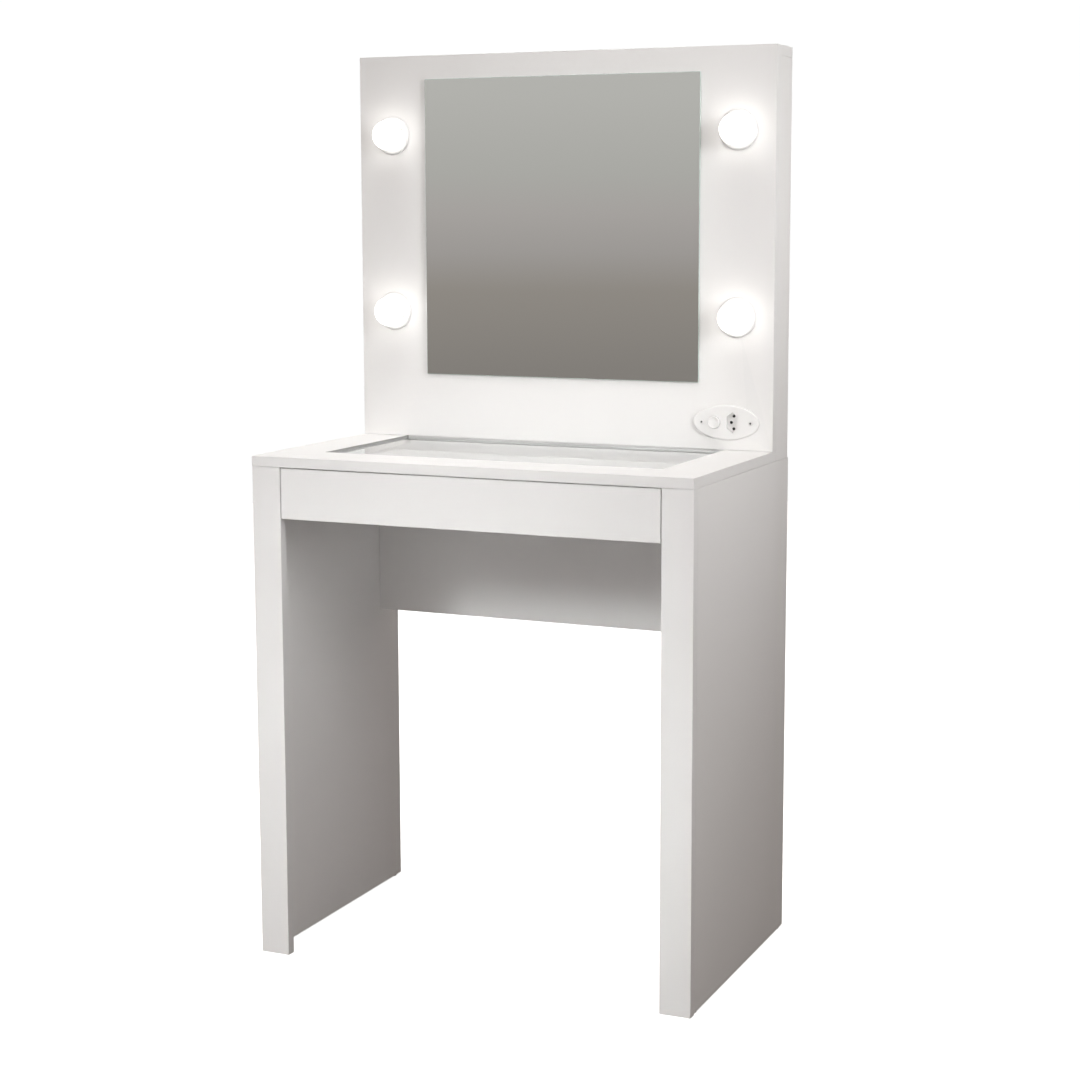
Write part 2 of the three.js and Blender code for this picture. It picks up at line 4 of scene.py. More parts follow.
import bpy
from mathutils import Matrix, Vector


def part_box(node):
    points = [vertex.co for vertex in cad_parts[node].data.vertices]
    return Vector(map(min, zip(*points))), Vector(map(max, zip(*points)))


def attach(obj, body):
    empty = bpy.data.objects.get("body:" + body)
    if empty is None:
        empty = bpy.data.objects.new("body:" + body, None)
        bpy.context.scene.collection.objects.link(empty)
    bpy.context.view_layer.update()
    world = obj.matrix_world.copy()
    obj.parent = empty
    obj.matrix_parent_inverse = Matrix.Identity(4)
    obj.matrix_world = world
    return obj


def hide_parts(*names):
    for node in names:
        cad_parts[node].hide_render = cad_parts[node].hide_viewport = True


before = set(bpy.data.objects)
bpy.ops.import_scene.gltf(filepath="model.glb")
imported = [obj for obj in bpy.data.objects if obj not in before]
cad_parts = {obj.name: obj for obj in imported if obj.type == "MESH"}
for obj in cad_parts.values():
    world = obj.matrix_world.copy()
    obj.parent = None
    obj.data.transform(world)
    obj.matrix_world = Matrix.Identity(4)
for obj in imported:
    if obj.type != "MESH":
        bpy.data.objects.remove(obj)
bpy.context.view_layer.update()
scene = bpy.context.scene

# ---------------------------------------------------------------- studio
# A pale floor under a white surround, lit by large soft boxes in front and smaller ones above, at
# the sides and behind. Mirrors and glass see a quiet grey room instead of the white.
scene.view_settings.view_transform = "Standard"
scene.view_settings.look = "None"

CAMERA_PLACE = Vector((1.2668, -2.7683, 1.0856))
CAMERA_AZIMUTH = math.radians(23.063)
CAMERA_TILT = math.radians(7.594)
camera_data = bpy.data.cameras.new("camera")
camera_data.lens = 69.24
camera_data.sensor_width = 36
camera_data.shift_x = -0.037
camera_data.shift_y = -0.0417
camera_data.clip_end = 60
camera = bpy.data.objects.new("camera", camera_data)
scene.collection.objects.link(camera)
camera.location = CAMERA_PLACE
camera.rotation_euler = (math.pi / 2 - CAMERA_TILT, 0, CAMERA_AZIMUTH)
scene.camera = camera

# Each soft box: place, what it faces, its side, its power, and the spread its grid lets out.
SOFT_BOXES = {
    "front_left": ((-0.9, -3.2, 0.7), (0.0, 0.0, 0.5), 1.5, 10.0, 180),
    "front_right": ((0.9, -3.2, 0.8), (0.0, 0.0, 0.5), 1.5, 4.5, 180),
    "wide": ((-1.1, -3.4, 2.6), (0.0, 0.0, 0.75), 2.0, 6.5, 180),
    "key": ((-0.9, -3.0, 2.2), (-0.1, -0.2, 0.35), 0.8, 0.9, 26),
    "low_key": ((-0.9, -3.0, 1.6), (0.0, -0.2, 0.28), 0.8, 0.85, 18),
    "housing": ((-0.5, -2.6, 2.4), (0.0, 0.13, 1.28), 0.8, 0.15, 20),
    "top": ((0.0, -0.6, 3.0), (0.0, -0.1, 0.7), 0.8, 1.25, 40),
    "side": ((1.8, -0.6, 1.0), (0.34, 0.0, 0.8), 0.8, 1.2, 180),
    "side_front": ((1.3, -0.9, 0.35), (0.34, -0.3, 0.35), 0.4, 0.25, 50),
    "side_middle": ((1.8, -0.6, 1.1), (0.34, -0.05, 0.95), 0.6, 1.0, 50),
    "side_upper": ((1.6, -0.6, 1.6), (0.34, -0.05, 1.3), 0.7, 1.2, 45),
    "left": ((-2.6, 0.5, 1.5), (-0.34, 0.1, 0.7), 1.2, 20.0, 120),
    "rear": ((-1.2, 3.0, 1.8), (0.0, 0.2, 0.7), 1.8, 28.0, 180),
}
for name, (place, target, side, power, spread) in SOFT_BOXES.items():
    light_data = bpy.data.lights.new(f"light_{name}", "AREA")
    light_data.shape = "SQUARE"
    light_data.size = side
    light_data.energy = power
    light_data.spread = math.radians(spread)
    light_data.color = (0.985, 0.995, 1.0)
    light = bpy.data.objects.new(light_data.name, light_data)
    scene.collection.objects.link(light)
    light.location = place
    light.rotation_euler = (Vector(target) - Vector(place)).to_track_quat("-Z", "Y").to_euler()
    light.visible_glossy = False
    light.visible_camera = False

world = bpy.data.worlds.new("studio")
scene.world = world
world.use_nodes = True
tree = world.node_tree
tree.nodes.clear()


def add(tree, kind, inputs=None, **settings):
    """A shader node with its settings, its inputs given as values or as sockets to link."""
    node = tree.nodes.new(kind)
    for name, value in settings.items():
        setattr(node, name, value)
    for name, value in (inputs or {}).items():
        socket = node.inputs[name]
        if isinstance(value, bpy.types.NodeSocket):
            tree.links.new(value, socket)
        else:
            socket.default_value = value
    return node


def ramp(tree, factor, stops):
    """A colour ramp: stops are (place, colour)."""
    node = add(tree, "ShaderNodeValToRGB", {"Fac": factor})
    band = node.color_ramp
    while len(band.elements) < len(stops):
        band.elements.new(0.5)
    for element, (place, colour) in zip(band.elements, stops):
        element.position = place
        element.color = (*colour, 1)
    return node.outputs["Color"]


direction = add(tree, "ShaderNodeTexCoord").outputs["Generated"]
height = add(tree, "ShaderNodeSeparateXYZ", {"Vector": direction}).outputs["Z"]
height = add(tree, "ShaderNodeMapRange", {"Value": height, "From Min": -0.3, "From Max": 0.3})
height = height.outputs["Result"]
ray = add(tree, "ShaderNodeLightPath").outputs
FLOOR_MIRRORED = (0.23, 0.215, 0.2)
ROOM = [
    (0.0, FLOOR_MIRRORED), (0.38, (0.248, 0.232, 0.213)), (0.443, (0.30, 0.278, 0.252)),
    (0.473, (0.369, 0.349, 0.334)), (0.504, (0.418, 0.396, 0.38)), (0.535, (0.441, 0.436, 0.412)),
    (0.596, (0.494, 0.489, 0.464)), (1.0, (0.6, 0.6, 0.58)),
]
SKY = [(0.35, (0.12, 0.095, 0.086)), (0.65, (0.335, 0.298, 0.281)), (1.0, (0.44, 0.396, 0.376))]
room = add(tree, "ShaderNodeBackground", {"Color": ramp(tree, height, ROOM)})
sky = add(tree, "ShaderNodeBackground", {"Color": ramp(tree, height, SKY)})
white = add(tree, "ShaderNodeBackground", {"Color": (1, 1, 1, 1), "Strength": 1.02})


def choose_by_ray(tree, ray, others, glossy, straight):
    """One shader for the camera, one for mirrors, and one for all other rays."""
    shader = add(tree, "ShaderNodeMixShader", {0: ray["Is Glossy Ray"], 1: others, 2: glossy}).outputs[0]
    return add(tree, "ShaderNodeMixShader", {0: ray["Is Camera Ray"], 1: shader, 2: straight}).outputs[0]


seen = choose_by_ray(tree, ray, sky.outputs[0], room.outputs[0], white.outputs[0])
add(tree, "ShaderNodeOutputWorld", {"Surface": seen})

FLOOR_RADIUS = 5.0
bpy.ops.mesh.primitive_circle_add(vertices=96, radius=FLOOR_RADIUS, fill_type="NGON", location=(0, 0, 0))
floor = bpy.context.object
floor.name = "floor"
floor_finish = bpy.data.materials.new("floor_paint")
floor_finish.use_nodes = True
tree = floor_finish.node_tree
tree.nodes.clear()
ray = add(tree, "ShaderNodeLightPath").outputs
pale = add(tree, "ShaderNodeBsdfDiffuse", {"Color": (0.93, 0.93, 0.925, 1)})
lift = add(tree, "ShaderNodeEmission", {"Color": (1, 1, 1, 1), "Strength": 0.8})
pale = add(tree, "ShaderNodeAddShader", {0: pale.outputs[0], 1: lift.outputs[0]})
bounce = add(tree, "ShaderNodeBsdfDiffuse", {"Color": (0.10, 0.085, 0.08, 1)})
mirrored = add(tree, "ShaderNodeEmission", {"Color": (*FLOOR_MIRRORED, 1)})
paint = choose_by_ray(tree, ray, bounce.outputs[0], mirrored.outputs[0], pale.outputs[0])
add(tree, "ShaderNodeOutputMaterial", {"Surface": paint})
floor.data.materials.append(floor_finish)

# ---------------------------------------------------------------- side panels
# 15 mm particle board faced with white melamine, cut square. Every edge carries a 0.6 mm band,
# whose corner is eased by hand. The panels stand on nail-on glides.
BAND = 0.0006
EASED = 0.0004


def mapped(tree, scale=(1, 1, 1)):
    """The piece's own coordinates in metres, scaled."""
    place = add(tree, "ShaderNodeTexCoord").outputs["Object"]
    return add(tree, "ShaderNodeMapping", {"Vector": place, "Scale": scale}).outputs["Vector"]


def new_finish(name):
    """A material with a Principled shader, given back with its tree and shader."""
    finish = bpy.data.materials.new(name)
    finish.use_nodes = True
    tree = finish.node_tree
    return finish, tree, tree.nodes["Principled BSDF"]


def set_shader(shader, **values):
    for name, value in values.items():
        socket = shader.inputs[name.replace("_", " ")]
        socket.default_value = (*value, 1) if isinstance(value, tuple) else value


def link(tree, source, shader, name):
    tree.links.new(source, shader.inputs[name])


def noise(tree, place, scale, detail):
    return add(tree, "ShaderNodeTexNoise", {"Vector": place, "Scale": scale, "Detail": detail})


def scaled_sum(tree, value, factor, base):
    """The value times the factor, plus the base."""
    return add(tree, "ShaderNodeMath", {0: value, 1: factor, 2: base}, operation="MULTIPLY_ADD").outputs[0]


def speckle_group():
    """A pressed or moulded surface: Tone drifts over a hand's width, Height is the fine pebble."""
    group = bpy.data.node_groups.new("pressed_pebble", "ShaderNodeTree")
    for name, value in (("Pebble Scale", 700), ("Drift", 0.02)):
        socket = group.interface.new_socket(name, in_out="INPUT", socket_type="NodeSocketFloat")
        socket.default_value = value
    for name in ("Tone", "Height", "Patch"):
        group.interface.new_socket(name, in_out="OUTPUT", socket_type="NodeSocketFloat")
    given = group.nodes.new("NodeGroupInput").outputs
    place = add(group, "ShaderNodeTexCoord").outputs["Object"]
    pebble = noise(group, place, given["Pebble Scale"], 3.0)
    drift = noise(group, place, 6.0, 2.0)
    spread = add(group, "ShaderNodeMath", {0: drift.outputs["Fac"], 1: 0.5}, operation="SUBTRACT")
    tone = scaled_sum(group, spread.outputs[0], given["Drift"], 1.0)
    given_out = group.nodes.new("NodeGroupOutput")
    group.links.new(tone, given_out.inputs["Tone"])
    group.links.new(pebble.outputs["Fac"], given_out.inputs["Height"])
    group.links.new(drift.outputs["Fac"], given_out.inputs["Patch"])
    return group


SPECKLE = speckle_group()


def speckle(tree, **values):
    node = tree.nodes.new("ShaderNodeGroup")
    node.node_tree = SPECKLE
    for name, value in values.items():
        node.inputs[name.replace("_", " ")].default_value = value
    return node.outputs


def between(tree, value, low, high):
    """A value from 0 to 1, spread between two others."""
    spread = add(tree, "ShaderNodeMapRange", {"Value": value, "To Min": low, "To Max": high})
    return spread.outputs["Result"]


def toned(tree, colour, tone):
    """A colour, lighter or darker by the tone."""
    scaled = add(tree, "ShaderNodeVectorMath", {0: colour, "Scale": tone}, operation="SCALE")
    return scaled.outputs["Vector"]


def bumped(tree, shader, height, distance):
    bump = add(tree, "ShaderNodeBump", {"Height": height, "Distance": distance, "Strength": 1.0})
    link(tree, bump.outputs["Normal"], shader, "Normal")


def plain_finish(name, colour, rough, pebble, relief):
    """A pressed or moulded finish: colour, mean roughness, pebbles per metre and their height."""
    finish, tree, shader = new_finish(name)
    surface = speckle(tree, Pebble_Scale=pebble, Drift=0.03)
    link(tree, toned(tree, colour, surface["Tone"]), shader, "Base Color")
    link(tree, between(tree, surface["Patch"], rough - 0.04, rough + 0.04), shader, "Roughness")
    set_shader(shader, IOR=1.5, Coat_Weight=0.12, Coat_Roughness=0.25)
    bumped(tree, shader, surface["Height"], relief)
    return finish


LAMINATE = plain_finish("white_laminate", (0.86, 0.853, 0.842), 0.38, 900, 0.00006)
EDGE_BAND = plain_finish("edge_band", (0.845, 0.84, 0.83), 0.34, 1400, 0.00002)


def deselect():
    bpy.ops.object.select_all(action="DESELECT")


def select_only(piece):
    deselect()
    bpy.context.view_layer.objects.active = piece
    piece.select_set(True)


def current(name):
    """Names the piece that was just added."""
    piece = bpy.context.object
    piece.name = name
    piece.data.name = name
    return piece


def block(name, low, high):
    """A cube stretched between two corners, its place kept in its mesh."""
    deselect()
    low, high = Vector(low), Vector(high)
    bpy.ops.mesh.primitive_cube_add(size=1, location=(low + high) / 2, scale=high - low)
    piece = current(name)
    bpy.ops.object.transform_apply(location=True, rotation=True, scale=True)
    return piece


def pick(piece, wanted, kind="FACE"):
    """Goes into edit mode with only the faces or edges that pass the test selected."""
    select_only(piece)
    mesh = piece.data
    for part in (mesh.vertices, mesh.edges, mesh.polygons):
        part.foreach_set("select", [False] * len(part))
    for item in mesh.polygons if kind == "FACE" else mesh.edges:
        item.select = wanted(item)
    bpy.context.tool_settings.mesh_select_mode = (False, kind == "EDGE", kind == "FACE")
    bpy.ops.object.mode_set(mode="EDIT")


def leave():
    bpy.ops.object.mode_set(mode="OBJECT")


def ease_edges(piece, width, steps=2):
    """Rounds every sharp edge."""
    pick(piece, lambda edge: False, "EDGE")
    bpy.ops.mesh.edges_select_sharp(sharpness=math.radians(40))
    bpy.ops.mesh.bevel(offset=width, segments=steps, affect="EDGES", profile=0.5)
    leave()


def ready(piece, body, *nodes, smooth=30):
    """Shades the piece, sets it on its body and puts it in the place of its CAD nodes."""
    select_only(piece)
    bpy.ops.object.shade_smooth_by_angle(angle=math.radians(smooth))
    flat = piece.modifiers.new("flat_faces", "WEIGHTED_NORMAL")
    flat.keep_sharp = True
    bpy.ops.object.modifier_apply(modifier=flat.name)
    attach(piece, body)
    if nodes:
        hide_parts(*nodes)


def paint_faces(piece, finishes, chooser):
    """Gives the piece its finishes; the chooser names one of them for each face."""
    for finish in finishes:
        piece.data.materials.append(finish)
    for face in piece.data.polygons:
        face.material_index = chooser(face)


def paint_all(piece, finish):
    paint_faces(piece, (finish,), lambda face: 0)


def banded(piece, axis):
    """Laminate on the two large faces, edge band on everything else."""
    largest = max(face.area for face in piece.data.polygons)

    def choose(face):
        return 0 if abs(face.normal[axis]) > 0.99 and face.area > largest * 0.02 else 1

    paint_faces(piece, (LAMINATE, EDGE_BAND), choose)


def cut_board(name, low, high, axis):
    """A banded board: axis is the one across its thickness."""
    piece = block(name, low, high)
    pick(piece, lambda face: abs(face.normal[axis]) > 0.99)
    bpy.ops.mesh.inset(thickness=BAND, use_individual=True)
    leave()
    ease_edges(piece, EASED)
    return piece


def node_board(node, axis, body="table"):
    """The board that stands in a CAD node's box."""
    piece = cut_board("board_" + node, *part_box(node), axis)
    banded(piece, axis)
    ready(piece, body, node)
    return piece


for side in ("left", "right"):
    node_board(f"{side}_side_panel", 0)

# ---------------------------------------------------------------- front stiles and apron
# The stiles are 46 mm boards that cover the front edges of the side panels and carry the weight.
# The apron ties the panels together behind the knees.
for side in ("left", "right"):
    node_board(f"{side}_front_stile", 1)
node_board("rear_apron", 1)

# ---------------------------------------------------------------- glides
# Small discs moulded in dark plastic round a nail, with an eased rim. One is knocked up into each
# end of both side panels and keeps the board off the floor.
GLIDE_PLASTIC = plain_finish("glide_plastic", (0.055, 0.045, 0.04), 0.5, 2500, 0.00003)


def first_ring(name, centre, axis, ring, sides, fill):
    """The (radius, height) ring that a turned piece starts from, as a disc or an open circle."""
    deselect()
    turn = Vector(axis).to_track_quat("Z", "Y").to_euler()
    radius, height = ring
    start = Vector(centre) + Vector(axis) * height
    bpy.ops.mesh.primitive_circle_add(
        vertices=sides, radius=radius, fill_type=fill, location=start, rotation=turn
    )
    piece = current(name)
    bpy.ops.object.transform_apply(location=True, rotation=True, scale=True)
    return piece


def draw_out(axis, outline):
    """Extrudes and resizes the selected ring along an axis, through each (radius, height)."""
    scene.tool_settings.transform_pivot_point = "MEDIAN_POINT"
    radius, height = outline[0]
    for next_radius, next_height in outline[1:]:
        move = Vector(axis) * (next_height - height)
        bpy.ops.mesh.extrude_region_move(TRANSFORM_OT_translate={"value": move})
        ratio = next_radius / radius
        bpy.ops.transform.resize(value=(ratio, ratio, ratio))
        radius, height = next_radius, next_height
    bpy.ops.mesh.select_all(action="SELECT")


def rings(name, centre, axis, profile, sides):
    """A solid turned piece, from a profile of (radius, height)."""
    piece = first_ring(name, centre, axis, profile[0], sides, "NGON")
    pick(piece, lambda face: True)
    draw_out(axis, profile)
    bpy.ops.mesh.normals_make_consistent(inside=False)
    leave()
    return piece


def axis_middle(node):
    """The middle of a CAD node's box."""
    low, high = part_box(node)
    return (low + high) / 2


GLIDE_PROFILE = [
    (0.0058, 0), (0.0066, 0.0003), (0.0070, 0.0009), (0.0070, 0.00165), (0.0011, 0.0018),
    (0.0011, 0.0130),
]
for side in ("left", "right"):
    for end in ("front", "rear"):
        node = f"{end}_{side}_glide"
        middle = axis_middle(node)
        glide = rings("disc_" + node, (middle.x, middle.y, 0), (0, 0, 1), GLIDE_PROFILE, 32)
        paint_all(glide, GLIDE_PLASTIC)
        ready(glide, "table", node)

# ---------------------------------------------------------------- tabletop
# One board with a rebated window cut in it. The long walls of the window carry white band; the short ones
# are painted dark grey as painted shade. The glass lies loose on the step.
glass_low, glass_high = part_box("tabletop_glass")
top_low, top_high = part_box("tabletop")
PLAY = 0.0003
STEP_WIDTH = 0.008
step_height = glass_low.z - PLAY
rebate = (glass_low.x - PLAY, glass_low.y - PLAY, glass_high.x + PLAY, glass_high.y + PLAY)
window = (rebate[0] + STEP_WIDTH, rebate[1] + STEP_WIDTH, rebate[2] - STEP_WIDTH, rebate[3] - STEP_WIDTH)


def saw(piece, point, normal):
    """Scores the piece right round where a plane meets it."""
    pick(piece, lambda face: True)
    bpy.ops.mesh.bisect(plane_co=point, plane_no=normal)
    leave()


def inside(face, frame_box):
    x, y = face.center.x, face.center.y
    return frame_box[0] < x < frame_box[2] and frame_box[1] < y < frame_box[3]


tabletop = block("board_tabletop", top_low, top_high)
for x0, y0, x1, y1 in (rebate, window):
    for x in (x0, x1):
        saw(tabletop, (x, 0, 0), (1, 0, 0))
    for y in (y0, y1):
        saw(tabletop, (0, y, 0), (0, 1, 0))
pick(tabletop, lambda face: face.normal.z > 0.9 and inside(face, rebate))
bpy.ops.mesh.extrude_region_move(TRANSFORM_OT_translate={"value": (0, 0, step_height - top_high.z)})
leave()
pick(tabletop, lambda face: abs(face.normal.z) > 0.9 and inside(face, window))
bpy.ops.mesh.bridge_edge_loops()
leave()
ease_edges(tabletop, 0.0005)

MARGIN = 0.0002
# Painted shade: a dark grey for the short walls of the window, standing in for the shade they lie in.
SHADED_WALL_GREY = plain_finish("sealed_edge", (0.33, 0.33, 0.325), 0.5, 700, 0.0001)


def tabletop_finish(face):
    """Laminate above and below, painted shade in dark grey on the short walls of the window, band on all
    the rest.
    """
    outside = not top_low.z + MARGIN / 2 < face.center.z < top_high.z - MARGIN / 2
    if outside and abs(face.normal.z) > 0.99:
        return 0
    grown = (rebate[0] - MARGIN, rebate[1] - MARGIN, rebate[2] + MARGIN, rebate[3] + MARGIN)
    return 2 if abs(face.normal.x) > 0.5 and inside(face, grown) else 1


paint_faces(tabletop, (LAMINATE, EDGE_BAND, SHADED_WALL_GREY), tabletop_finish)
ready(tabletop, "table", "tabletop")

# ---------------------------------------------------------------- tabletop glass
# 4 mm clear float glass with its edges ground and polished, which shows green only at the edges.
# It lies loose on the step of the window and lifts out.
def pane_glass():
    finish, tree, shader = new_finish("float_glass")
    set_shader(shader, Base_Color=(0.985, 0.99, 0.986), Roughness=0.0, IOR=1.5, Transmission_Weight=1.0)
    clear = add(tree, "ShaderNodeBsdfTransparent", {"Color": (0.93, 0.937, 0.933, 1)})
    shadow = add(tree, "ShaderNodeLightPath").outputs["Is Shadow Ray"]
    surface = add(tree, "ShaderNodeMixShader", {0: shadow, 1: shader.outputs[0], 2: clear.outputs[0]})
    tree.links.new(surface.outputs[0], tree.nodes["Material Output"].inputs["Surface"])
    return finish


FLOAT_GLASS = pane_glass()
pane = block("pane_tabletop", glass_low, glass_high)
ease_edges(pane, 0.0007)
paint_all(pane, FLOAT_GLASS)
ready(pane, "table", "tabletop_glass")

# ---------------------------------------------------------------- runner battens
# Blocks of the same board, screwed inside the side panels so that the runners line up with the
# inner edges of the stiles.
for side in ("left", "right"):
    node_board(f"{side}_runner_batten", 0)

# ---------------------------------------------------------------- drawer box
# An inset front of banded board, and sides and a back of 12 mm board. A 3 mm base slides into a
# groove in the front and the sides, and holds the box square.
GROOVE_LOW, GROOVE_HIGH, GROOVE_DEPTH, GROOVE_PLAY = 0.6720, 0.6756, 0.005, 0.0003
SLIVER = 0.000004
UP = Vector((0, 0, 1))


def clear_slivers(piece):
    """Merges points that a cut has left closer together than any real detail."""
    pick(piece, lambda face: True)
    bpy.ops.mesh.remove_doubles(threshold=SLIVER)
    bpy.ops.mesh.dissolve_degenerate(threshold=SLIVER)
    leave()


def subtract(piece, cutter):
    """Cuts the cutter's shape out of the piece and throws the cutter away."""
    select_only(piece)
    cut = piece.modifiers.new("cut", "BOOLEAN")
    cut.operation = "DIFFERENCE"
    cut.solver = "EXACT"
    cut.object = cutter
    bpy.ops.object.modifier_apply(modifier=cut.name)
    bpy.data.objects.remove(cutter, do_unlink=True)
    clear_slivers(piece)


def run_groove(piece, low, high, depth, inward):
    """Routs a groove between two heights into the face that looks the other way from inward."""
    inward = Vector(inward)
    for z in (low, high):
        saw(piece, (0, 0, z), UP)
    middle = (low + high) / 2

    def strip(face):
        return face.normal.dot(inward) < -0.9 and abs(face.center.z - middle) < (high - low) / 2

    pick(piece, strip)
    bpy.ops.mesh.extrude_region_move(TRANSFORM_OT_translate={"value": inward * depth})
    leave()


base_low, base_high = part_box("drawer_base")
front_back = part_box("drawer_front")[1].y
drawer_front = cut_board("board_drawer_front", *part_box("drawer_front"), 1)
groove_low = (base_low.x - GROOVE_PLAY, front_back - GROOVE_DEPTH, GROOVE_LOW)
groove_high = (base_high.x + GROOVE_PLAY, front_back + GROOVE_DEPTH, GROOVE_HIGH)
subtract(drawer_front, block("cutter", groove_low, groove_high))
banded(drawer_front, 1)
ready(drawer_front, "drawer", "drawer_front")

for side, inward in (("left", (-1, 0, 0)), ("right", (1, 0, 0))):
    node = f"drawer_side_{side}"
    wall = block("board_" + node, *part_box(node))
    run_groove(wall, GROOVE_LOW, GROOVE_HIGH, GROOVE_DEPTH, inward)
    ease_edges(wall, EASED)
    banded(wall, 0)
    ready(wall, "drawer", node)
node_board("drawer_back", 1, "drawer")
node_board("drawer_base", 2, "drawer")

# ---------------------------------------------------------------- mirror housing boards
# The front panel stands on the tabletop and carries the mirror and the lamps. Two side boards
# and a cap make it a box, closed below by a shelf and behind by a sheet that slides in grooves.
def drill(piece, centre, axis, radius, depth, sides=48):
    """Cuts a round hole with a cutter of that radius and depth."""
    deselect()
    turn = Vector(axis).to_track_quat("Z", "Y").to_euler()
    bpy.ops.mesh.primitive_cylinder_add(
        vertices=sides, radius=radius, depth=depth, location=centre, rotation=turn
    )
    subtract(piece, current("cutter"))


panel_low, panel_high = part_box("mirror_panel")
panel_face = panel_low.y
HOLDER_HOLE = 0.022
LAMP_NAMES = [f"{level}_{side}" for side in ("left", "right") for level in ("upper", "lower")]
lamp_places = {name: axis_middle(name + "_lampholder") for name in LAMP_NAMES}
plate_middle = axis_middle("outlet_plate")
panel = cut_board("board_mirror_panel", panel_low, panel_high, 1)
for place in lamp_places.values():
    drill(panel, (place.x, panel_face, place.z), (0, 1, 0), HOLDER_HOLE, 0.04)
CUTOUT = Vector((0.031, 0.02, 0.021))
back_box = Vector((plate_middle.x, panel_face, plate_middle.z))
subtract(panel, block("cutter", back_box - CUTOUT, back_box + CUTOUT))
banded(panel, 1)
ready(panel, "table", "mirror_panel")

node_board("housing_side_left", 0)
node_board("housing_side_right", 0)
node_board("housing_cap", 2)
node_board("housing_bottom", 2)


def fibre_board():
    """Thin brown hardboard: pressed fibres show as short darker flecks."""
    finish, tree, shader = new_finish("hardboard_fibre")
    place = mapped(tree, (1.0, 1.0, 0.35))
    fleck = noise(tree, place, 420.0, 4.0).outputs["Fac"]
    cloud = noise(tree, mapped(tree), 45.0, 4.0).outputs["Fac"]
    both = scaled_sum(tree, fleck, 0.35, scaled_sum(tree, cloud, 0.35, 0.15))
    fibres = [(0.4, (0.33, 0.215, 0.13)), (0.5, (0.40, 0.27, 0.17)), (0.6, (0.47, 0.33, 0.215))]
    link(tree, ramp(tree, both, fibres), shader, "Base Color")
    set_shader(shader, Roughness=0.62)
    bumped(tree, shader, fleck, 0.0001)
    return finish


HARDBOARD = fibre_board()
sheet_low, sheet_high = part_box("housing_back")
back_sheet = block("sheet_housing_back", sheet_low, sheet_high)
ease_edges(back_sheet, 0.0003)
paint_all(back_sheet, HARDBOARD)
ready(back_sheet, "table", "housing_back")

# ---------------------------------------------------------------- mirror
# 3 mm silvered glass with a seamed edge. It has no frame, and two upright strips of foam tape
# stick it to the panel.
def silvering():
    finish, tree, shader = new_finish("silvered_glass")
    set_shader(shader, Base_Color=(0.90, 0.905, 0.90), Metallic=1.0, Roughness=0.012)
    return finish


def ground_edge():
    finish, tree, shader = new_finish("ground_glass_edge")
    grain = noise(tree, mapped(tree), 1800.0, 2.0).outputs["Fac"]
    tint = ramp(tree, grain, [(0.3, (0.42, 0.50, 0.47)), (0.7, (0.62, 0.70, 0.67))])
    link(tree, tint, shader, "Base Color")
    set_shader(shader, Roughness=0.35, IOR=1.5)
    return finish


SILVERED = silvering()
GROUND_EDGE = ground_edge()
mirror_low, mirror_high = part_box("mirror_glass")
mirror = block("pane_mirror", mirror_low, mirror_high)
ease_edges(mirror, 0.0006, 1)
paint_faces(mirror, (SILVERED, GROUND_EDGE), lambda face: 0 if face.normal.y < -0.99 else 1)
ready(mirror, "table", "mirror_glass", smooth=20)

FOAM = plain_finish("foam_tape", (0.05, 0.05, 0.048), 0.9, 1600, 0.00008)
for side in ("left", "right"):
    node = f"mirror_tape_{side}"
    strip = block("strip_" + node, *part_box(node))
    ease_edges(strip, 0.0001)
    paint_all(strip, FOAM)
    ready(strip, "table", node)

# ---------------------------------------------------------------- lamps
# Moulded lampholders pushed through the panel, each with a round flange in front and a nut
# behind. The opal globe bulbs are lit, and sit with their necks down in the flange.
MOULDED = plain_finish("moulded_white", (0.87, 0.868, 0.86), 0.3, 3000, 0.00001)


def opal():
    finish, tree, shader = new_finish("lit_opal")
    glow = add(tree, "ShaderNodeLayerWeight", {"Blend": 0.35}).outputs["Facing"]
    colour = ramp(tree, glow, [(0.0, (1.0, 0.985, 0.96)), (1.0, (1.0, 0.95, 0.89))])
    link(tree, colour, shader, "Emission Color")
    set_shader(shader, Base_Color=(0.9, 0.89, 0.87), Roughness=0.35, Emission_Strength=2.6)
    return finish


OPAL = opal()
HOLDER_PROFILE = [
    (0.0175, -0.0360), (0.0175, -0.0280), (0.0216, -0.0240), (0.0216, 0.0003), (0.0286, 0.0003),
    (0.0290, 0.0007), (0.0290, 0.0020), (0.0287, 0.0029), (0.0279, 0.0037), (0.0266, 0.0043),
    (0.0248, 0.0047), (0.0222, 0.0049), (0.0208, 0.0048), (0.0201, 0.0044), (0.0198, 0.0037),
    (0.0198, -0.0040), (0.0146, -0.0090), (0.0146, -0.0330),
]
GLOBE_RADIUS, GLOBE_CENTRE, NECK_RADIUS, COLLAR_RADIUS = 0.0225, 0.0195, 0.0144, 0.0132
GLOBE_STEPS = 30
THREADS, THREAD_PITCH, THREAD_START = 6, 0.0036, -0.0270
OUTWARD = (0, -1, 0)


def globe_profile():
    """The neck from the cap up, then the ball in even steps to its top."""
    start = -math.acos(NECK_RADIUS / GLOBE_RADIUS)
    angles = [start + (math.pi / 2 - start) * step / GLOBE_STEPS for step in range(GLOBE_STEPS)]
    ball = [(GLOBE_RADIUS * math.cos(a), GLOBE_CENTRE + GLOBE_RADIUS * math.sin(a)) for a in angles]
    top = (0.0004, GLOBE_CENTRE + GLOBE_RADIUS)
    return [(COLLAR_RADIUS, -0.005), (0.0138, -0.003), (NECK_RADIUS, 0.0), *ball, top]


